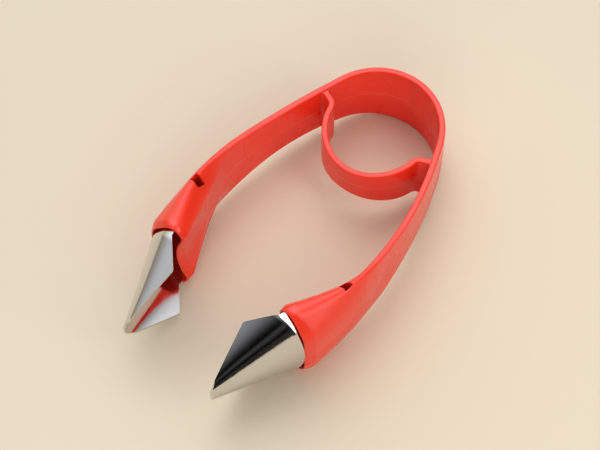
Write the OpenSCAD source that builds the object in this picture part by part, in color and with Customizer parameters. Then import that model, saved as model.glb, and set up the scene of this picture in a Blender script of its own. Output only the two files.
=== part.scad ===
// Hulling tongs: a sprung, one-piece plastic handle with two pressed steel scoop blades.
// +Y runs from the blade tips to the bend, X runs across, and the part lies on its edge, Z up.

/* [Handle strap] */
// Overall length, from the blade tips to the back of the bend
overall_l = 115; // [112:0.5:118]
// Outer radius of the bend
bend_r = 20.8; // [20:0.1:21.6]
// How far the bend turns on each side of the middle, in degrees
bend_angle = 66.4; // [65:0.2:68]
// Outer radius of the long bow of each arm
arm_r = 132; // [122:1:144]
// Thickness of the strap
strap_t = 1.9; // [1.6:0.1:2.3]
// Half height of the strap at its waist
waist_half_h = 9.15; // [8.5:0.05:10]
// Distance of the waist from the back of the bend
waist_back = 29; // [27:0.5:32]
// Radius of the waist curve, seen from the side
waist_r = 120; // [100:5:140]
// Flare of the strap towards the blades, in degrees
flare_front = 8; // [7:0.2:9]
// Flare of the strap towards the bend, in degrees
flare_back = 6.6; // [5:0.2:8]
// How far the strap's faces bulge at mid height
strap_bulge = 0.12; // [0.08:0.02:0.2]
// Edge rounding of the strap
edge_r = 0.5; // [0.3:0.05:0.7]
// Distance from the end of the bend to the line where an arm is taken to flex
flex_l = 4.3; // [3.5:0.1:5]

/* [Heads] */
// Length of each arm, from the end of the bend to the mouth
arm_l = 77.8; // [76:0.2:79]
// Length over which the head thickens, up to the mouth
head_l = 37.2; // [34:0.2:40]
// Growth of the head's thickness for each millimetre of length
head_slope = 0.325; // [0.3:0.005:0.35]
// How far the outside of the head swells at mid height
head_swell = 1.9; // [1.4:0.1:2.3]
// How far the crown of the mouth lies inside the outer line
crown_in = 4.7; // [4:0.1:5.4]
// Width of the flat land on the crown of the mouth, with its rounded corners
crown_w = 4.3; // [4:0.1:5]
// Wall of the head round the pocket
head_wall = 1.8; // [1.5:0.1:2.1]
// Depth of the pocket from the mouth
pocket_l = 22; // [21:0.5:25]
// Flat cut on the crown of the head, where the part can lie
rest_cut = 0.25; // [0.2:0.05:0.4]
// Length of the bevel round the mouth
rim_l = 2.8; // [2.2:0.1:3.2]
// Depth of the bevel round the mouth, at mid height
rim_d = 1.3; // [1:0.1:1.5]
// How much thinner the wall and its bevel are on the crown
crown_thin = 0.5; // [0.3:0.05:0.7]
// Depth of the hollow in the head's inner face, at the mouth
scoop_d = 3.4; // [2.6:0.1:3.8]
// Radius of the hollow in the head's inner face
scoop_r = 24; // [22:0.5:28]
// Distance over which the hollow fades out
scoop_l = 17; // [13:0.5:21]
// Window size along the arm
window_l = 3; // [2:0.1:4]
// Window size across the arm
window_w = 3; // [2.2:0.1:3.4]
// Distance of the window's middle from the mouth
window_back = 19.2; // [18:0.2:20.4]
// Distance of the window's outer side from the outer line
window_in = 1.6; // [1.4:0.1:2]

/* [Inner spring] */
// Radius of the inner spring on its ring side
spring_r = 14.8; // [14:0.1:15.6]
// Distance of the spring's centre from the back of the bend
spring_back = 19.7; // [19:0.1:20.5]
// Thickness of the inner spring
spring_t = 1.8; // [1.5:0.05:2.1]
// Half height of the spring at its middle
spring_mid_h = 5.6; // [4.8:0.1:6.4]
// Half height of the spring at its roots
spring_root_h = 8.9; // [8.4:0.1:9.1]
// Bend radius at each root, on the spring's centre line
root_r = 2.8; // [2.2:0.1:3.4]
// Fillet where a root meets the strap
root_fillet = 0.8; // [0.5:0.1:1]
// Distance of each root from the flexing line, along the arm
root_l = 2.7; // [2.2:0.1:3.4]
// Clearance between a root's end and the strap's bulging face
root_gap = 0.06; // [0.04:0.01:0.2]

/* [Blades] */
// Thickness of the blade sheet
sheet_t = 0.7; // [0.5:0.05:0.9]
// Half angle of the blade's cone, in degrees
cone_angle = 27.75; // [27:0.25:28.5]
// Distance of the cone's apex from the middle of the part
apex_x = 12.7; // [12.2:0.1:13.2]
// Distance from the blade tip to the cone's apex
apex_past_tip = 8.6; // [8.2:0.1:9]
// Lean of the cone's axis, in degrees
cone_lean = 3; // [2.5:0.25:3.5]
// Length of the cone, from the tip to the fold at the neck
cone_l = 24.8; // [24:0.1:25.6]
// Half angle of the tang, in degrees
tang_angle = 7; // [6:0.5:8]
// Length of the tang inside the head
tang_l = 13; // [11:0.5:14]
// Distance from the tip to the corner of the cutting edge
corner_back = 18.6; // [18:0.1:19.2]
// Distance of the cutting corner from the middle of the part
corner_x = 12.8; // [12.5:0.1:13.2]
// Distance of the tip's inner side from the middle of the part
tip_x = 15.8; // [15.5:0.1:16.2]
// Distance of the blade's flange edge from the middle, at the mouth
flange_x = 19.9; // [19.4:0.1:20.4]
// Radius of the rounded tip, seen from the side
tip_r = 4.8; // [4:0.1:5.4]
// Half height of the blade at the neck, where it enters the head
neck_h = 15.4; // [14.8:0.1:15.5]
// How far the tang's edges step down behind the mouth
shoulder = 1.4; // [1.2:0.1:2]
// Half height of the tang at its inner end
tang_h = 9; // [7:0.5:10]
// Clearance between the tang and its seat
seat_gap = 0.1; // [0.05:0.01:0.15]

/* [Hidden] */
$fn = 96;
red = "#d8352a";
steel = "#c9ccd0";
past = 0.5;          // how far a cut runs past the face it opens
head_blend = 10;     // length of the curve that leads into the head
crown_lead = 6;      // how far behind the window the crown starts to form
crown_blend = 8;     // length of the curve that leads into the crown
window_crown = 0.6;  // how far the crown lies inside the outer line at the window
early_swell = 0.68;  // share of the swell that is reached at the window
// Heights of the section's corners as shares of the half height, at the strap and at the mouth
side_z = 0.38;
brow_z = [0.75, 0.63];
face_z = [0.56, 0.74];
brow_swell = 0.46;   // share of the swell that is left at the brow
apex_y = overall_l / 2 - strap_bulge;
bend_cy = apex_y - bend_r;
bend_l = bend_r * bend_angle * PI / 180;
arm_cx = (bend_r - arm_r) * sin(bend_angle);
arm_cy = bend_cy + (bend_r - arm_r) * cos(bend_angle);
waist_y = apex_y - waist_back;
flex_s = bend_l + flex_l;
mouth_s = bend_l + arm_l;
head_s = mouth_s - head_l;
window_s = mouth_s - window_back;
rim_s = mouth_s - rim_l;
crown_s = rim_s + rim_l * crown_thin / rim_d;
mid_z = half_h(path(crown_s).y) - rest_cut;
mouth = path(mouth_s);

// Angle of the outward direction at a distance s along the outer line, from +Y
function turn(s) = s <= bend_l ? s / bend_r * 180 / PI : bend_angle + (s - bend_l) / arm_r * 180 / PI;
function outward(s) = s < 0 ? [-sin(turn(-s)), cos(turn(-s))] : [sin(turn(s)), cos(turn(s))];
function path(s) =
    s < 0 ? [-path(-s).x, path(-s).y] :
    s <= bend_l ? [0, bend_cy] + bend_r * outward(s) : [arm_cx, arm_cy] + arm_r * outward(s);

// Half height of the strap at a place y: a waist arc between two straight flares
function half_h(y) =
    let (d = y - waist_y, flare = d > 0 ? flare_back : flare_front, e = waist_r * sin(flare))
    waist_half_h + (abs(d) < e ? waist_r - sqrt(waist_r * waist_r - d * d)
                               : waist_r * (1 - cos(flare)) + (abs(d) - e) * tan(flare));

function mix(pair, f) = pair[0] + (pair[1] - pair[0]) * f;
function clamp01(x) = min(1, max(0, x));
function smooth(x) = let (c = clamp01(x)) c * c * (3 - 2 * c);
// A ramp of slope 1 that starts with a parabola of length b
function ramp(x, b) = x <= 0 ? 0 : x < b ? x * x / (2 * b) : x - b / 2;

function thickness_at(s) = strap_t + head_slope * ramp(s - head_s, head_blend);

// How far the inner face lies inside the outer line at a height z: a slight bulge, or the hollow at the mouth
function face_in(s, z, top) =
    let (depth = scoop_d * (1 - (mouth_s - s) / scoop_l) - z * z / (2 * scoop_r))
    thickness_at(s) + strap_bulge * (1 - z * z / (top * top)) - max(0, depth);

// The upper half of a section as [outward, up, rounding]: side, brow, crown, crown's inner edge, inner face
function corners(s) =
    let (h = half_h(path(s).y),
         start = smooth((s - head_s) / (window_s - head_s)),
         open = ramp(s - window_s + crown_lead, crown_blend) / ramp(window_back + crown_lead, crown_blend),
         swell = mix([strap_bulge, head_swell], mix([early_swell * start, early_swell * start + 1 - early_swell], open)),
         crown = window_crown * start + (crown_in - window_crown) * open,
         land = mix([strap_t - window_crown * start, crown_w + window_crown * (1 - start)], open),
         top = mix(face_z, open) * h)
    [[swell, side_z * h, 2],
     [brow_swell * swell, mix(brow_z, open) * h, 2 + open],
     [-crown, h, edge_r + 0.5 * start + 1.7 * open],
     [-crown - land, h, edge_r + 0.3 * start + 1.2 * open],
     [-face_in(s, top, top), top, 1 + start]];

// The corners when a section is set in by a wall, which is thinner on the crown
function set_in(list, d) =
    let (down = max(0, d - crown_thin),
         moves = [[-d, 0], [-0.45 * d - 0.5 * down, -0.2 * d], [-0.7 * down, -down], [0.5 * down, -down],
                  [d, -0.35 * d]])
    [for (i = [0:len(list) - 1]) [list[i][0] + moves[i][0], list[i][1] + moves[i][1], list[i][2]]];
function below(list) = [for (i = [len(list) - 1:-1:0]) [list[i][0], -list[i][1], list[i][2]]];

// Rounds each corner of a closed outline with a curve of n steps; a corner without rounding stays a point
function toward(a, b, d) = let (v = [b[0] - a[0], b[1] - a[1]]) [a[0], a[1]] + v * min(0.5, d / norm(v));
function rounded(list, n) = let (k = len(list)) [
    for (i = [0:k - 1], j = [0:list[i][2] > 0 ? n : 0])
        let (c = list[i], p = toward(c, list[(i + k - 1) % k], c[2]), q = toward(c, list[(i + 1) % k], c[2]),
             t = j / n)
        (1 - t) * (1 - t) * p + 2 * t * (1 - t) * [c[0], c[1]] + t * t * q];

// A section outline stood up in space at a place, across a direction
function stand(outline, at, across) = [for (p = outline) [at.x + p[0] * across.x, at.y + p[0] * across.y, mid_z + p[1]]];
function strap_ring(s, inset = 0) =
    let (place = abs(s), outer = corners(place), top = outer[4][1], upper = set_in(outer, inset),
         face = [for (q = [0.72:-0.24:-0.73])
             [inset - face_in(place, q * top, top), q * (top - 0.35 * inset), 0]])
    stand(rounded(concat(upper, face, below(upper)), 3), path(s), outward(s));

// A closed skin through rings that all have as many points
module skin(rings) {
    n = len(rings[0]);
    last = (len(rings) - 1) * n;
    sides = [for (i = [0:len(rings) - 2], j = [0:n - 1], half = [0, 1])
        let (a = i * n + (j + 1) % n, b = i * n + j, c = b + n, d = a + n)
        half == 0 ? [a, b, c] : [a, c, d]];
    polyhedron([for (r = rings, p = r) p],
               concat([[for (j = [0:n - 1]) j]], [[for (j = [n - 1:-1:0]) last + j]], sides), convexity = 8);
}

function steps(a, b, n) = [for (i = [0:n]) a + (b - a) * i / n];

module bend() {
    color(red) skin([for (s = steps(-flex_s, flex_s, 24)) strap_ring(s)]);
}

module head_pocket() {
    skin([for (s = steps(mouth_s - pocket_l, mouth_s + past, 9)) strap_ring(s, head_wall)]);
}

// Two windows in line, one in the top edge and one in the bottom edge
module head_windows() {
    at = path(window_s);
    translate([at.x, at.y, 0]) rotate(90 - turn(window_s))
        translate([-window_in - window_w, -window_l / 2, -past]) cube([window_w, window_l, 2 * mid_z + 2 * past]);
}

module right_arm() {
    color(red) difference() {
        skin(concat([for (s = steps(flex_s, head_s, 12)) strap_ring(s)],
                    [for (s = steps(head_s + 1.5, rim_s, 20)) strap_ring(s)],
                    [strap_ring(crown_s, crown_thin), strap_ring(mouth_s, rim_d)]));
        for (z = [-rest_cut - past, 2 * mid_z])
            translate([0, mouth.y - past, z]) cube([overall_l, head_l, rest_cut + past]);
        head_pocket();
        head_windows();
        blade_sheet(seat_gap);
    }
}

module left_arm() {
    mirror([1, 0, 0]) right_arm();
}

// The spring's centre line: an arc about the ring's centre, a tight bend, and a short straight root
spring_cy = apex_y - spring_back;
spring_cr = spring_r + spring_t / 2;
root_s = flex_s + root_l;
root_out = outward(root_s);
root_end = path(root_s) - (strap_t + strap_bulge + root_gap) * root_out;
root_side = [root_out.y, -root_out.x];
root_v = root_end + root_r * root_side - [0, spring_cy];
root_m = root_v * root_out - sqrt(pow(root_v * root_out, 2) - root_v * root_v + pow(spring_cr + root_r, 2));
tight_c = root_end + root_r * root_side - root_m * root_out;
arc_end = atan2(tight_c.x, spring_cy - tight_c.y);
root_dir = atan2(root_out.y, root_out.x);
arc_part = spring_cr * arc_end * PI / 180;
tight_part = root_r * (arc_end - root_dir) * PI / 180;
spring_half = arc_part + tight_part + root_m;

// Direction of the centre line and the place on it, at a distance s from the spring's middle
function spring_dir(s) =
    s <= arc_part ? s / spring_cr * 180 / PI :
    s <= arc_part + tight_part ? arc_end - (s - arc_part) / root_r * 180 / PI : root_dir;
function spring_at(s) =
    let (a = spring_dir(s))
    s <= arc_part ? [spring_cr * sin(a), spring_cy - spring_cr * cos(a)] :
    s <= arc_part + tight_part ? tight_c + root_r * [-sin(a), cos(a)] : root_end + (s - spring_half) * root_out;
function spring_h(s) =
    let (k = 0.15, f = (sqrt(k * k + pow(s / spring_half, 2)) - k) / (sqrt(k * k + 1) - k))
    spring_mid_h + (spring_root_h - spring_mid_h) * f;
function spring_half_t(s) =
    let (d = spring_half - s, e = root_fillet - d)
    spring_t / 2 + (e > 0 ? root_fillet - sqrt(root_fillet * root_fillet - e * e) : 0);

module inner_spring() {
    places = concat(steps(0, arc_part, 16), [for (i = [1:6]) arc_part + tight_part * i / 6],
                    [spring_half - root_fillet], [for (f = [0.5, 0.8, 1]) spring_half - root_fillet * (1 - f)]);
    half = [for (s = places)
        let (a = spring_dir(s), at = spring_at(s), t = spring_half_t(s), h = spring_h(s), r = edge_r,
             list = [[t, h, r], [-t, h, r], [-t, -h, r], [t, -h, r]])
        stand(rounded(list, 3), at, [-sin(a), cos(a)])];
    mirrored = [for (i = [len(half) - 1:-1:1]) [for (j = [0:len(half[i]) - 1]) [-half[i][j].x, half[i][j].y, half[i][j].z]]];
    color(red) skin(concat(mirrored, half));
}

// Seen from above: what is kept of the cone, from the tip along the cutting edge and back into the head
module blade_plan() {
    tip_y = -overall_l / 2;
    tang_end = mouth.y + tang_l;
    far_x = mouth.x + tang_l;
    polygon([[tip_x, tip_y], [corner_x, tip_y + corner_back], [flange_x, mouth.y], [flange_x + 0.5, tang_end],
             [far_x, tang_end], [far_x, tip_y]]);
}

// Seen from the side: a rounded tip that opens at 45 degrees, on a wide strip
module tip_side() {
    c = -overall_l / 2 + tip_r;
    wide = 2 * mid_z;
    polygon(concat([for (a = [-45:7.5:45]) [c - tip_r * cos(a), tip_r * sin(a)]],
                   [[c + wide, wide + tip_r], [overall_l, wide], [overall_l, -wide], [c + wide, -wide - tip_r]]));
}

// Seen from the side: behind the mouth the tang steps down, then narrows with the head
module tang_side(gap) {
    lip_y = path(mouth_s).y - crown_in * outward(mouth_s).y;
    back_y = lip_y + shoulder;
    end_y = mouth.y + tang_l + gap;
    near = neck_h + gap;
    half = [[-overall_l, near], [lip_y, near], [back_y + gap, near - shoulder], [end_y, tang_h + gap]];
    polygon(concat(half, [for (i = [len(half) - 1:-1:0]) [half[i].x, -half[i].y]]));
}

// The sheet: a cone that runs on into a steeper tang, as one shell about the leaning axis
module blade_sheet(gap = 0) {
    a1 = apex_past_tip + cone_l;
    a2 = apex_past_tip + overall_l / 2 + mouth.y + tang_l + gap;
    a0 = apex_past_tip - 4;
    r1 = a1 * tan(cone_angle);
    r2 = r1 + (a2 - a1) * tan(tang_angle);
    w = sheet_t / cos(cone_angle);
    intersection() {
        translate([apex_x, -overall_l / 2 - apex_past_tip, mid_z]) rotate([0, 0, cone_lean]) rotate([-90, 0, 0])
            rotate_extrude()
                polygon([[a0 * tan(cone_angle) + gap, a0], [r1 + gap, a1], [r2 + gap, a2],
                         [r2 - w - gap, a2], [r1 - w - gap, a1], [a0 * tan(cone_angle) - w - gap, a0]]);
        translate([0, 0, -1]) linear_extrude(2 * mid_z + 2) offset_plan(gap);
        translate([0, 0, mid_z]) rotate([90, 0, 90]) linear_extrude(mouth.x + tang_l) intersection() {
            tip_side();
            tang_side(gap);
        }
    }
}

// The plan with its tang end and flange edge moved out by a gap
module offset_plan(gap) {
    blade_plan();
    if (gap > 0) translate([-gap, gap]) blade_plan();
}

module right_blade() {
    color(steel) blade_sheet();
}

module left_blade() {
    mirror([1, 0, 0]) right_blade();
}

bend();
right_arm();
left_arm();
inner_spring();
right_blade();
left_blade();
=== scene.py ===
"""Hulling tongs: the finish of the sprung plastic handle and its two pressed steel blades."""
import math

import bmesh
import bpy
from mathutils import Matrix, Vector


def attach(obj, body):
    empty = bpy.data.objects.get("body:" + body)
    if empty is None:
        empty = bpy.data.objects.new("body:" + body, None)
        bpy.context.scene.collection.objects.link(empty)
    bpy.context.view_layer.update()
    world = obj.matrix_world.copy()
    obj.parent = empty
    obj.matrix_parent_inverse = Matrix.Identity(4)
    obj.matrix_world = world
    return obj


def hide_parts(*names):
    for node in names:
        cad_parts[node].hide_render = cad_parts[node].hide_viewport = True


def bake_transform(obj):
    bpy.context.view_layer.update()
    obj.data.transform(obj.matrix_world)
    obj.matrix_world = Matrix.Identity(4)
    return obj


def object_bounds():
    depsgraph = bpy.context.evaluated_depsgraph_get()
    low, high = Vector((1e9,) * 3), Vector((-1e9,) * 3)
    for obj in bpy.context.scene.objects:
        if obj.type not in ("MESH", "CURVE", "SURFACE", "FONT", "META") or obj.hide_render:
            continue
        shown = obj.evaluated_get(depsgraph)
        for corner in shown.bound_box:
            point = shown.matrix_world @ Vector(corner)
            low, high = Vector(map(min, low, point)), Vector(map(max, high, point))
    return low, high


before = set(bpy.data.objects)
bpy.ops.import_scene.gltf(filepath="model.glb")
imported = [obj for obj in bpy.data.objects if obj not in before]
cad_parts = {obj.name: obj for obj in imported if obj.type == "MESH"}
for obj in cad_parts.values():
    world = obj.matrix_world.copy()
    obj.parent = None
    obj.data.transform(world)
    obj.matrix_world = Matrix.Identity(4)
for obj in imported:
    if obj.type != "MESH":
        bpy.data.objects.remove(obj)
cad_low, cad_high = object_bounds()

# Handle: one springy moulding of polypropylene, bowed round at the back and widened into two
# hollow heads at the front. Each half is lofted along the strap's outer line, out to the lip of
# the mouth and back down the pocket.
MM = 0.001
mid_z = (cad_low.z + cad_high.z) / 2 / MM
tip_y = cad_low.y / MM
strap_bulge = 0.12
apex_y = cad_high.y / MM - strap_bulge
bend_r = 20.8
bend_angle = math.radians(66.4)
arm_r = 132.0
arm_l = 77.8
strap_t = 1.9
waist_half_h = 9.15
waist_back = 29
waist_y = apex_y - waist_back
waist_r = 120.0
flare_front = math.radians(8)
flare_back = math.radians(6.6)
edge_r = 0.5
bend_centre = Vector((0, apex_y - bend_r))
arm_centre = bend_centre + (bend_r - arm_r) * Vector((math.sin(bend_angle), math.cos(bend_angle)))
bend_l = bend_r * bend_angle
mouth_s = bend_l + arm_l
head_l = 37.2
head_s = mouth_s - head_l
window_back = 19.2
window_s = mouth_s - window_back
head_slope = 0.325
head_blend = 10.0
head_swell = 1.9
early_swell = 0.68
side_z = 0.38
brow_z = (0.75, 0.63)
brow_swell = 0.46
face_z = (0.56, 0.74)
outer_round = (0.5, 1.7)
inner_round = (0.3, 1.2)
corner_steps = 6
crown_in = 4.7
crown_w = 4.3
crown_lead = 6.0
crown_blend = 8.0
window_crown = 0.6
head_wall = 1.8
pocket_l = 22.0
rim_l = 2.8
rim_d = 1.3
crown_thin = 0.5
scoop_d = 3.4
scoop_r = 24.0
scoop_l = 17.0
sharp_angle = math.radians(35)


def turn(s):
    """Angle of the outward direction at a distance s along the strap's outer line, from +Y."""
    return s / bend_r if s <= bend_l else bend_angle + (s - bend_l) / arm_r


def outward(s):
    return Vector((math.sin(turn(s)), math.cos(turn(s))))


def path(s):
    """The strap's outer line, from the back of the bend round to the mouth."""
    centre, radius = (bend_centre, bend_r) if s <= bend_l else (arm_centre, arm_r)
    return centre + radius * outward(s)


def half_height(y):
    """Half height of the strap: a waist arc between two straight flares."""
    flare = flare_back if y > waist_y else flare_front
    away = abs(y - waist_y)
    reach = waist_r * math.sin(flare)
    if away < reach:
        return waist_half_h + waist_r - math.sqrt(waist_r**2 - away**2)
    return waist_half_h + waist_r * (1 - math.cos(flare)) + (away - reach) * math.tan(flare)


def smooth(x):
    """A soft step from 0 to 1."""
    c = min(1, max(0, x))
    return c * c * (3 - 2 * c)


def ramp(x, b):
    """A ramp of slope 1 that starts with a parabola of length b."""
    return 0 if x <= 0 else x * x / (2 * b) if x < b else x - b / 2


def mix(a, b, part):
    return a + (b - a) * part


def face_in(s, z, top):
    """How far the inner face lies inside the outer line: a slight bulge, or the hollow at the mouth."""
    thickness = strap_t + head_slope * ramp(s - head_s, head_blend)
    depth = scoop_d * (1 - (mouth_s - s) / scoop_l) - z * z / (2 * scoop_r)
    return thickness + strap_bulge * (1 - z * z / (top * top)) - max(0, depth)


def corners(s):
    """The upper half of a section as (outward, up, rounding), from mid height outside to inside."""
    h = half_height(path(s).y)
    start = smooth((s - head_s) / (window_s - head_s))
    wide = ramp(s - window_s + crown_lead, crown_blend) / ramp(window_back + crown_lead, crown_blend)
    swell = mix(strap_bulge, head_swell, mix(wide, start, early_swell))
    crown = window_crown * start + (crown_in - window_crown) * wide
    top = mix(*face_z, wide) * h
    land = mix(strap_t, crown_w + window_crown, wide) - window_crown * start
    return [
        (swell, side_z * h, 2),
        (brow_swell * swell, mix(*brow_z, wide) * h, 2 + wide),
        (-crown, h, edge_r + outer_round[0] * start + outer_round[1] * wide),
        (-crown - land, h, edge_r + inner_round[0] * start + inner_round[1] * wide),
        (-face_in(s, top, top), top, 1 + start),
    ]


def rounded(outline):
    """A closed outline with each corner drawn as a curve; one without rounding stays a point."""
    points = []
    for i, (x, y, r) in enumerate(outline):
        corner = Vector((x, y))
        ends = []
        for other in (outline[i - 1], outline[(i + 1) % len(outline)]):
            way = Vector(other[:2]) - corner
            ends.append(corner + way * min(0.5, r / way.length))
        for j in range(corner_steps + 1 if r > 0 else 1):
            t = j / corner_steps
            points.append((1 - t) ** 2 * ends[0] + 2 * t * (1 - t) * corner + t * t * ends[1])
    return points


def strap_ring(s, inset=0.0):
    """The strap's section at s, set in by a wall that is thinner at the crown, as points in space."""
    outer = corners(s)
    top = outer[4][1]
    crown_land = outer[2][0] - outer[3][0]
    down = ramp(inset - crown_thin + 0.1, 0.2)
    # The crown's two corners draw closer to each other, but stop short of meeting.
    outer_move, inner_move = 0.7, 0.5
    closer = min(down, 0.8 * crown_land / (outer_move + inner_move))
    inward = [(-inset, 0), (-0.45 * inset - 0.5 * down, -0.2 * inset), (-outer_move * closer, -down)]
    inward += [(inner_move * closer, -down), (inset, -0.35 * inset)]
    upper = [(u + a, z + b, r) for (u, z, r), (a, b) in zip(outer, inward)]
    face = []
    for i in range(11):
        q = 0.8 - 0.16 * i
        face.append((inset - face_in(s, q * top, top), q * (top - 0.35 * inset), 0))
    lower = [(u, -z, r) for u, z, r in reversed(upper)]
    at, across = path(s), outward(s)
    # The crown is cut flat at mid_z from the middle, where the part lies.
    return [
        Vector((at.x + p.x * across.x, at.y + p.x * across.y, mid_z + max(-mid_z, min(mid_z, p.y))))
        for p in rounded(upper + face + lower)
    ]


def spread(a, b, n):
    """The places from a to b in n equal steps."""
    return [a + (b - a) * i / n for i in range(n + 1)]


def loft(rings):
    """A closed bmesh drawn from ring to ring by extruding the last ring's edges."""
    bm = bmesh.new()
    ring = [bm.verts.new(p) for p in rings[0]]
    edges = [bm.edges.new((ring[i - 1], ring[i])) for i in range(len(ring))]
    first = list(ring)
    for points in rings[1:]:
        out = bmesh.ops.extrude_edge_only(bm, edges=edges)
        new_edges = [e for e in out["geom"] if isinstance(e, bmesh.types.BMEdge)]
        step = {}
        for e in new_edges:
            for v in e.verts:
                step[v] = None
        follow = {}
        for v in step:
            for e in v.link_edges:
                w = e.other_vert(v)
                if w not in step:
                    follow[w] = v
        ring = [follow[v] for v in ring]
        for v, p in zip(ring, points):
            v.co = p
        edges = new_edges
    bm.faces.new(first)
    bm.faces.new(ring)
    return bm


def finished(bm, name, side):
    """Scales a right-hand bmesh in millimetres to metres, mirrors it for the left, and makes its object."""
    bmesh.ops.remove_doubles(bm, verts=bm.verts, dist=1e-4)
    bmesh.ops.recalc_face_normals(bm, faces=bm.faces)
    bmesh.ops.scale(bm, vec=(side * MM, MM, MM), verts=bm.verts)
    if side < 0:
        bmesh.ops.reverse_faces(bm, faces=bm.faces)
    for face in bm.faces:
        face.smooth = True
    mesh = bpy.data.meshes.new(name)
    bm.to_mesh(mesh)
    bm.free()
    mesh.set_sharp_from_angle(angle=sharp_angle)
    piece = bpy.data.objects.new(name, mesh)
    bpy.context.scene.collection.objects.link(piece)
    return piece


def half_handle(name, side):
    """One half in order: the strap and head, the rim's bevel, the lip, and the pocket inside."""
    seam, soft_edge, lip_edge = 0.04, 0.35, 0.1
    outer = [0.0, seam] + spread(1.0, bend_l, 26) + spread(bend_l, head_s, 30)[1:]
    outer += spread(head_s, mouth_s - rim_l - soft_edge, 60)[1:]
    rings = [strap_ring(s) for s in outer]
    rings += [strap_ring(mouth_s - rim_l, 0.04)]
    rings += [strap_ring(mouth_s - rim_l * (1 - f), rim_d * f) for f in spread(0.12, 0.88, 8)]
    rings += [strap_ring(mouth_s - lip_edge, rim_d - 0.02), strap_ring(mouth_s, rim_d + 0.12)]
    rings += [strap_ring(mouth_s, head_wall - 0.12)]
    rings += [strap_ring(s, head_wall) for s in spread(mouth_s - lip_edge, mouth_s - pocket_l, 24)]
    return finished(loft(rings), name, side)


def cut_windows(piece, side):
    """Two square windows in line, through the top and the bottom edge, into the pocket."""
    window_l, window_w, window_in, past = 3.0, 3.0, 1.2, 2.0
    at = path(window_s)
    bm = bmesh.new()
    bmesh.ops.create_cube(bm, size=1)
    bmesh.ops.scale(bm, vec=(window_w, window_l, 2 * (mid_z + past)), verts=bm.verts)
    bmesh.ops.translate(bm, vec=(-window_in - window_w / 2, 0, 0), verts=bm.verts)
    turned = Matrix.Rotation(math.pi / 2 - turn(window_s), 3, "Z")
    bmesh.ops.rotate(bm, cent=(0, 0, 0), matrix=turned, verts=bm.verts)
    bmesh.ops.translate(bm, vec=(at.x, at.y, mid_z), verts=bm.verts)
    cutter = finished(bm, "window_cutter", side)
    cut = piece.modifiers.new("windows", "BOOLEAN")
    cut.object = cutter
    cut.operation = "DIFFERENCE"
    cut.solver = "EXACT"
    with_windows = bpy.data.meshes.new_from_object(
        piece.evaluated_get(bpy.context.evaluated_depsgraph_get())
    )
    piece.modifiers.clear()
    piece.data = with_windows
    piece.data.set_sharp_from_angle(angle=sharp_angle)
    bpy.data.objects.remove(cutter)


def linear(hex_colour):
    """sRGB hex to the linear colour that a shader takes."""
    channels = [int(hex_colour[i : i + 2], 16) / 255 for i in (1, 3, 5)]
    return [c / 12.92 if c <= 0.04045 else ((c + 0.055) / 1.055) ** 2.4 for c in channels] + [1]


def add_node(tree, kind, settings=None, inputs=None, links=None):
    """One node with its settings, socket values and incoming links."""
    node = tree.nodes.new(kind)
    for key, value in (settings or {}).items():
        setattr(node, key, value)
    for key, value in (inputs or {}).items():
        node.inputs[key].default_value = value
    for key, socket in (links or {}).items():
        tree.links.new(socket, node.inputs[key])
    return node


def new_material(name):
    """A material with an empty node tree."""
    material = bpy.data.materials.new(name)
    material.use_nodes = True
    material.node_tree.nodes.clear()
    return material, material.node_tree


# Moulded polypropylene: glossy but a little waxy, so light sinks in and the thin walls glow. The mould's
# polish leaves faint waves about 17 mm long, its halves a parting line at mid height, and use leaves a few
# pale hair scratches, one in each cell of 2 by 2 by 14 mm. The line and the scratches are about 0.05 mm
# wide, and are drawn 0.2 to 0.3 mm wide to show. The parting line is a tiny ridge, and its highlight is
# painted in as the same pale colour as the scratches.
moulded_polypropylene, tree = new_material("moulded_polypropylene")
place = add_node(tree, "ShaderNodeTexCoord")
waves = add_node(
    tree, "ShaderNodeTexNoise", inputs={"Scale": 60, "Detail": 0}, links={"Vector": place.outputs["Object"]}
)
hair_map = add_node(
    tree,
    "ShaderNodeMapping",
    {"vector_type": "TEXTURE"},
    {"Scale": (0.002, 0.002, 0.014), "Rotation": (0.9, 0.5, 0.4)},
    {"Vector": place.outputs["Object"]},
)
hair_cells = add_node(
    tree, "ShaderNodeTexVoronoi", inputs={"Scale": 1}, links={"Vector": hair_map.outputs[0]}
)
hairs = add_node(
    tree,
    "ShaderNodeMapRange",
    inputs={"From Min": 0.03, "From Max": 0.07, "To Min": 1.0, "To Max": 0.0},
    links={"Value": hair_cells.outputs["Distance"]},
)
up_down = add_node(tree, "ShaderNodeSeparateXYZ", links={"Vector": place.outputs["Object"]})
from_mid = add_node(
    tree, "ShaderNodeMath", {"operation": "SUBTRACT"}, {1: mid_z * MM}, {0: up_down.outputs["Z"]}
)
off_mid = add_node(tree, "ShaderNodeMath", {"operation": "ABSOLUTE"}, links={0: from_mid.outputs[0]})
# Parting line at mid height: a small ridge in the bump, and a painted highlight in the colour.
parting_ridge_and_highlight = add_node(
    tree,
    "ShaderNodeMapRange",
    inputs={"From Min": 0.0001, "From Max": 0.0002, "To Min": 1.0, "To Max": 0.0},
    links={"Value": off_mid.outputs[0]},
)
scratches_and_parting_highlight = add_node(
    tree, "ShaderNodeMath", {"operation": "MAXIMUM"}, links={0: hairs.outputs[0], 1: parting_ridge_and_highlight.outputs[0]}
)
paled_by_scratches_and_highlight = add_node(tree, "ShaderNodeMath", {"operation": "MULTIPLY"}, {1: 0.3}, {0: scratches_and_parting_highlight.outputs[0]})
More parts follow.
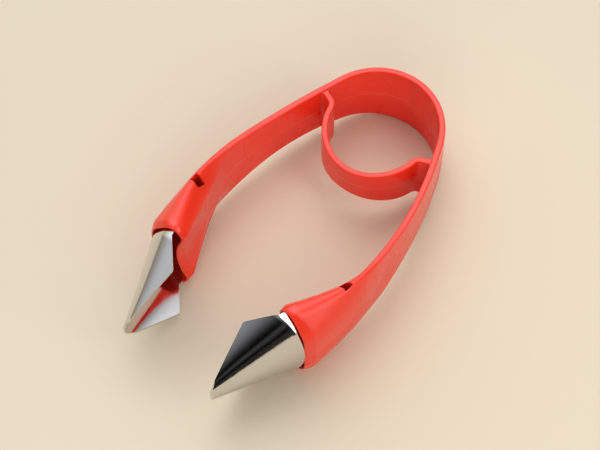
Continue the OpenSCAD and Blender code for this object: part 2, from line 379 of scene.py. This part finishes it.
# The pale colour is real whitening in the scratches and a painted highlight along the parting line.
colour = add_node(
    tree,
    "ShaderNodeMix",
    {"data_type": "RGBA"},
    {"A": linear("#EF371E"), "B": linear("#FFA090")},
    {"Factor": paled_by_scratches_and_highlight.outputs[0]},
)
waves_bump = add_node(
    tree,
    "ShaderNodeBump",
    inputs={"Strength": 0.06, "Distance": 0.0005},
    links={"Height": waves.outputs[0]},
)
marks_bump = add_node(
    tree,
    "ShaderNodeBump",
    inputs={"Strength": 0.2, "Distance": 0.00004},
    links={"Height": scratches_and_parting_highlight.outputs[0], "Normal": waves_bump.outputs[0]},
)
gloss = add_node(
    tree,
    "ShaderNodeMapRange",
    inputs={"From Min": 0.3, "From Max": 0.7, "To Min": 0.24, "To Max": 0.31},
    links={"Value": waves.outputs[0]},
)
plastic = add_node(
    tree,
    "ShaderNodeBsdfPrincipled",
    inputs={
        "IOR": 1.49,
        "Subsurface Weight": 0.35,
        "Subsurface Radius": (1.0, 0.25, 0.15),
        "Subsurface Scale": 0.002,
    },
    links={
        "Base Color": colour.outputs["Result"],
        "Roughness": gloss.outputs[0],
        "Normal": marks_bump.outputs[0],
    },
)
add_node(tree, "ShaderNodeOutputMaterial", links={"Surface": plastic.outputs[0]})

for side, word in ((1, "right"), (-1, "left")):
    handle = half_handle("handle_" + word, side)
    cut_windows(handle, side)
    handle.data.materials.clear()
    handle.data.materials.append(moulded_polypropylene)
    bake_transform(handle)
    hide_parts("bend", word + "_arm")

# Inner spring: a thinner leaf of the same moulding that closes the ring and pushes the arms apart.
# It is lofted from the middle round to its root, which runs a little way into the strap's wall.
spring_r = 14.8
spring_t = 1.8
spring_mid_h = 5.6
spring_root_h = 8.9
root_r = 2.8
root_fillet = 0.8
into_wall = 0.5
root_gap = 0.06
spring_back = 19.7
flex_l = 4.3
root_past_flex = 2.7
spring_centre = Vector((0, apex_y - spring_back))
spring_cr = spring_r + spring_t / 2
root_s = bend_l + flex_l + root_past_flex
root_out = outward(root_s)
root_side = Vector((root_out.y, -root_out.x))
root_end = path(root_s) - (strap_t + strap_bulge + root_gap) * root_out
root_from = root_end + root_r * root_side - spring_centre
along = root_from.dot(root_out)
root_l = along - math.sqrt(along**2 - root_from.dot(root_from) + (spring_cr + root_r) ** 2)
tight_centre = root_end + root_r * root_side - root_l * root_out
arc_end = math.atan2(tight_centre.x, spring_centre.y - tight_centre.y)
root_dir = math.atan2(root_out.y, root_out.x)
arc_l = spring_cr * arc_end
tight_l = root_r * (arc_end - root_dir)
spring_half = arc_l + tight_l + root_l


def spring_place(s):
    """Direction of the spring's centre line and the place on it, at a distance s from the middle."""
    if s <= arc_l:
        a = s / spring_cr
        return a, spring_centre + spring_cr * Vector((math.sin(a), -math.cos(a)))
    if s <= arc_l + tight_l:
        a = arc_end - (s - arc_l) / root_r
        return a, tight_centre + root_r * Vector((-math.sin(a), math.cos(a)))
    return root_dir, root_end + (s - spring_half) * root_out


def spring_ring(s):
    """The leaf's section at s: low in the middle, higher towards the root, with a fillet at the root."""
    a, at = spring_place(s)
    level = 0.15
    share = (math.hypot(level, s / spring_half) - level) / (math.hypot(level, 1) - level)
    h = spring_mid_h + (spring_root_h - spring_mid_h) * share
    into = root_fillet - (spring_half - s)
    reach = min(into, root_fillet * 0.98)
    fillet = root_fillet - math.sqrt(root_fillet**2 - reach**2) if into > 0 else 0
    t = spring_t / 2 + fillet
    outline = [(t, h, edge_r), (-t, h, edge_r), (-t, -h, edge_r), (t, -h, edge_r)]
    across = Vector((-math.sin(a), math.cos(a)))
    return [
        Vector((at.x + p.x * across.x, at.y + p.x * across.y, mid_z + p.y)) for p in rounded(outline)
    ]


for side, word in ((1, "right"), (-1, "left")):
    places = [0.0, 0.04] + spread(1.0, arc_l, 40) + spread(arc_l, arc_l + tight_l, 14)[1:]
    places += spread(spring_half - root_fillet, spring_half, 6) + [spring_half + into_wall]
    half = finished(loft([spring_ring(s) for s in places]), "spring_" + word, side)
    half.data.materials.append(moulded_polypropylene)
    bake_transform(half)
    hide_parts("inner_spring")

# Blades: each is a conical gouge pressed from stainless sheet, ground to a point, with a rounded tip and
# straight cutting edges. Its neck folds into a tang that is pushed into the head.
sheet_t = 0.7
cone_angle = math.radians(27.75)
apex_x = 12.7
apex_past_tip = 8.6
cone_apex = Vector((apex_x, tip_y - apex_past_tip, mid_z))
cone_lean = math.radians(3)
cone_l = 24.8
cone_a = apex_past_tip + cone_l
neck_bend = 1.2
tang_angle = math.radians(7)
tang_l = 13
mouth = path(mouth_s)
tang_y = mouth.y + tang_l
tang_a = tang_y - tip_y + apex_past_tip
tip_x = 15.8
tip_r = 4.8
corner_back = 18.6
corner_x = 12.8
flange_x = 19.9
tang_x = 20.4
neck_h = 15.4
shoulder = 1.4
tang_h = 9.0
pressed_square = 0.035
pressed_in = 0.04
ground_w = 0.24
lip_y = mouth.y - crown_in * outward(mouth_s).y
plan = [(tip_x, tip_y), (corner_x, tip_y + corner_back), (flange_x, mouth.y), (tang_x, tang_y), (tang_x, 0)]
sides = [(lip_y, neck_h), (lip_y + shoulder, neck_h - shoulder), (tang_y, tang_h), (0, tang_h)]


def cone_radius(a):
    """Outer radius at a distance a from the apex along the axis: a cone, a short bend, and the tang."""
    slope = math.tan(cone_angle) - math.tan(tang_angle)
    return a * math.tan(cone_angle) - slope * ramp(a - cone_a + neck_bend / 2, neck_bend)


def pressed_out(a, angle):
    """Share by which the press draws the cone in at its flanges and out to the head's squarish mouth."""
    away = math.degrees(abs(angle))
    squarish = math.sin(math.radians(min(180, away * 180 / 80))) ** 2
    return pressed_square * smooth((a - 14) / 20) * squarish - pressed_in * smooth((away - 40) / 40)


def on_cone(a, angle, inside):
    """A point of the sheet's outer or inner face."""
    r = cone_radius(a) * (1 + pressed_out(a, angle)) - (sheet_t / math.cos(cone_angle) if inside else 0)
    out = r * math.cos(angle)
    return Vector(
        (
            cone_apex.x + out * math.cos(cone_lean) - a * math.sin(cone_lean),
            cone_apex.y + out * math.sin(cone_lean) + a * math.cos(cone_lean),
            mid_z + r * math.sin(angle),
        )
    )


def is_kept(p):
    """Is a point of the cone inside the blade's plan and side outlines?"""
    z = abs(p.z - mid_z)
    if p.y < tip_y or z > neck_h:
        return False
    # The tip is an arc that runs into straight edges at 45 degrees.
    from_centre = p.y - tip_y - tip_r
    arc_ends = tip_r * math.sin(math.radians(45))
    if from_centre < -arc_ends and from_centre**2 + z * z > tip_r**2:
        return False
    if from_centre >= -arc_ends and z > 2 * arc_ends + from_centre:
        return False
    for (y0, h0), (y1, h1) in zip(sides, sides[1:]):
        if y0 <= p.y <= y1 and z > h0 + (h1 - h0) * (p.y - y0) / (y1 - y0):
            return False
    for (x0, y0), (x1, y1) in zip(plan, plan[1:]):
        if y0 <= p.y <= y1:
            return p.x >= x0 + (x1 - x0) * (p.y - y0) / (y1 - y0)
    return False


def widest(a, inside):
    """The angle at which the outline cuts the cone at a distance a from the apex."""
    low, high = 0.0, math.radians(85)
    for _ in range(30):
        angle = (low + high) / 2
        low, high = (angle, high) if is_kept(on_cone(a, angle, inside)) else (low, angle)
    return low


def blade_ring(a):
    """The sheet's section at a, across its outer face and back across its inner face."""
    outer, inner = widest(a, False), widest(a, True)
    across = spread(-1, 1, 40)
    return [on_cone(a, outer * q, False) for q in across] + [on_cone(a, inner * -q, True) for q in across]


# Stainless sheet: bright rolled and pressed steel, so it mirrors what is round it, drawn out a little by
# fine polishing lines along the blade. The lines are some hundredths of a millimetre apart, and are drawn
# 0.4 mm apart and 17 mm long to show.
pressed_stainless, tree = new_material("pressed_stainless")
place = add_node(tree, "ShaderNodeTexCoord")
lines_map = add_node(
    tree, "ShaderNodeMapping", inputs={"Scale": (2500, 60, 2500)}, links={"Vector": place.outputs["Object"]}
)
lines = add_node(
    tree, "ShaderNodeTexNoise", inputs={"Scale": 1, "Detail": 3}, links={"Vector": lines_map.outputs[0]}
)
lines_bump = add_node(
    tree,
    "ShaderNodeBump",
    inputs={"Strength": 0.02, "Distance": 0.0001},
    links={"Height": lines.outputs[0]},
)
polish = add_node(
    tree,
    "ShaderNodeMapRange",
    inputs={"From Min": 0.3, "From Max": 0.7, "To Min": 0.08, "To Max": 0.16},
    links={"Value": lines.outputs[0]},
)
steel = add_node(
    tree,
    "ShaderNodeBsdfPrincipled",
    inputs={"Base Color": linear("#D6D4D0"), "Metallic": 1.0},
    links={"Roughness": polish.outputs[0], "Normal": lines_bump.outputs[0]},
)
add_node(tree, "ShaderNodeOutputMaterial", links={"Surface": steel.outputs[0]})

# Ground edge: the narrow bevel that the grinding wheel leaves all round the sheet, satin and pale.
ground_stainless, tree = new_material("ground_stainless")
satin = add_node(
    tree,
    "ShaderNodeBsdfPrincipled",
    inputs={"Base Color": linear("#ECECE8"), "Metallic": 0.6, "Roughness": 0.5},
)
add_node(tree, "ShaderNodeOutputMaterial", links={"Surface": satin.outputs[0]})

for side, word in ((1, "right"), (-1, "left")):
    start_a = apex_past_tip / math.cos(cone_lean) + 0.02
    while not is_kept(on_cone(start_a, 0, True)):
        start_a += 0.01
    bend_from, bend_to = cone_a - neck_bend, cone_a + neck_bend
    places = [start_a + (bend_from - start_a) * (i / 90) ** 1.35 for i in range(91)]
    places += spread(bend_from, bend_to, 12)[1:] + spread(bend_to, tang_a - 0.3, 30)[1:]
    blade = finished(loft([blade_ring(a) for a in places]), "blade_" + word, side)
    edges = blade.modifiers.new("ground_edges", "BEVEL")
    edges.width = ground_w * MM
    edges.segments = 1
    edges.limit_method = "ANGLE"
    edges.angle_limit = math.radians(50)
    edges.material = 1
    blade.data.materials.append(pressed_stainless)
    blade.data.materials.append(ground_stainless)
    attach(blade, word + "_side")
    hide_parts(word + "_blade")

# Stage: a plain pale floor of painted board. It slopes a little, so that the flat lands under the heads,
# at rest_y, and the bend's lower edge both rest on it.
rest_y = -28.15 * MM
floor_gap = 0.03 * MM
back_z = (mid_z - half_height(apex_y)) * MM
floor_slope = math.atan2(back_z, cad_high.y - rest_y)
bm = bmesh.new()
bmesh.ops.create_grid(bm, x_segments=1, y_segments=1, size=3)
bmesh.ops.rotate(bm, cent=(0, 0, 0), matrix=Matrix.Rotation(floor_slope, 3, "X"), verts=bm.verts)
bmesh.ops.translate(bm, vec=(0, rest_y, -floor_gap), verts=bm.verts)
floor_mesh = bpy.data.meshes.new("floor")
bm.to_mesh(floor_mesh)
bm.free()
floor = bpy.data.objects.new("floor", floor_mesh)
bpy.context.scene.collection.objects.link(floor)
painted_board, tree = new_material("painted_board")
board = add_node(
    tree, "ShaderNodeBsdfPrincipled", inputs={"Base Color": linear("#D8C9AE"), "Roughness": 0.6}
)
add_node(tree, "ShaderNodeOutputMaterial", links={"Surface": board.outputs[0]})
floor.data.materials.append(painted_board)

# Studio: a room with windows on the far left and above, and a dim, cluttered side at the near right, so
# that the steel mirrors a bright and a dark side. The camera alone sees a plain pale backdrop.
world = bpy.data.worlds.new("studio")
world.use_nodes = True
bpy.context.scene.world = world
tree = world.node_tree
tree.nodes.clear()
direction = add_node(tree, "ShaderNodeTexCoord")
towards_windows = add_node(
    tree,
    "ShaderNodeVectorMath",
    {"operation": "DOT_PRODUCT"},
    {1: (-0.5, 0.45, 0.74)},
    {0: direction.outputs["Generated"]},
)
window_side = add_node(
    tree,
    "ShaderNodeMapRange",
    inputs={"From Min": -0.05, "From Max": 0.85},
    links={"Value": towards_windows.outputs["Value"]},
)
squared = add_node(tree, "ShaderNodeMath", {"operation": "POWER"}, {1: 2.0}, {0: window_side.outputs[0]})
windows = add_node(tree, "ShaderNodeMath", {"operation": "MULTIPLY"}, {1: 1.4}, {0: squared.outputs[0]})
clutter = add_node(
    tree,
    "ShaderNodeTexNoise",
    inputs={"Scale": 2.5, "Detail": 2},
    links={"Vector": direction.outputs["Generated"]},
)
dim_side = add_node(
    tree,
    "ShaderNodeMapRange",
    inputs={"From Min": 0.45, "From Max": 0.7, "To Min": 0.003, "To Max": 0.07},
    links={"Value": clutter.outputs[0]},
)
strength = add_node(
    tree, "ShaderNodeMath", {"operation": "ADD"}, links={0: windows.outputs[0], 1: dim_side.outputs[0]}
)
split = add_node(tree, "ShaderNodeSeparateXYZ", links={0: direction.outputs["Generated"]})
height = add_node(
    tree,
    "ShaderNodeMapRange",
    inputs={"From Min": 0.0, "From Max": 0.35},
    links={"Value": split.outputs["Z"]},
)
wall_tint = add_node(
    tree,
    "ShaderNodeMix",
    {"data_type": "RGBA"},
    {"A": linear("#E4D6BC"), "B": linear("#F4F7FF")},
    {"Factor": height.outputs[0]},
)
room = add_node(
    tree,
    "ShaderNodeBackground",
    links={"Color": wall_tint.outputs["Result"], "Strength": strength.outputs[0]},
)
backdrop = add_node(tree, "ShaderNodeBackground", inputs={"Color": linear("#EFE6D8"), "Strength": 1.0})
ray = add_node(tree, "ShaderNodeLightPath")
shown = add_node(
    tree,
    "ShaderNodeMixShader",
    links={0: ray.outputs["Is Camera Ray"], 1: room.outputs[0], 2: backdrop.outputs[0]},
)
add_node(tree, "ShaderNodeOutputWorld", links={"Surface": shown.outputs[0]})


# Lamps: a large soft one above, a tall one at the right that lights up the blade's neck, and a broad
# one at the front for the plastic walls, which stays out of the steel's reflections.
def softbox(name, place_m, size_m, watts):
    """A soft rectangular lamp that faces the middle of the part."""
    light = bpy.data.lights.new(name, "AREA")
    light.shape = "RECTANGLE"
    light.size, light.size_y = size_m
    light.energy = watts
    lamp = bpy.data.objects.new(name, light)
    lamp.location = place_m
    lamp.rotation_mode = "QUATERNION"
    lamp.rotation_quaternion = (-Vector(place_m)).to_track_quat("-Z", "Y")
    bpy.context.scene.collection.objects.link(lamp)
    return lamp


softbox("key_softbox", (-0.3, 0.3, 0.9), (0.7, 0.7), 2.7)
softbox("side_softbox", (0.82, 0.174, 0.56), (0.3, 1.15), 3.2)
front_softbox = softbox("front_softbox", (0.52, -0.74, 0.46), (0.9, 0.7), 5.0)
front_softbox.visible_glossy = False

# Camera: a long lens from the blade side, high up and to the right.
camera_azimuth = math.radians(39.709)
camera_elevation = math.radians(59.828)
camera_roll = math.radians(-0.481)
camera_distance = 0.47541
camera_target = Vector((0.4025 * MM, 0.788 * MM, mid_z * MM))
back = Vector(
    (
        math.sin(camera_azimuth) * math.cos(camera_elevation),
        -math.cos(camera_azimuth) * math.cos(camera_elevation),
        math.sin(camera_elevation),
    )
)
right = Vector((math.cos(camera_azimuth), math.sin(camera_azimuth), 0))
up = back.cross(right)
rolled_right = math.cos(camera_roll) * right + math.sin(camera_roll) * up
rolled_up = math.cos(camera_roll) * up - math.sin(camera_roll) * right
lens = bpy.data.cameras.new("camera")
lens.sensor_width = 36
lens.lens = 97.28
lens.clip_start = 0.01
camera = bpy.data.objects.new("camera", lens)
camera.matrix_world = Matrix.Translation(camera_target + back * camera_distance) @ (
    Matrix((rolled_right, rolled_up, back)).transposed().to_4x4()
)
bpy.context.scene.collection.objects.link(camera)
bpy.context.scene.camera = camera
bpy.context.scene.view_settings.view_transform = "Standard"
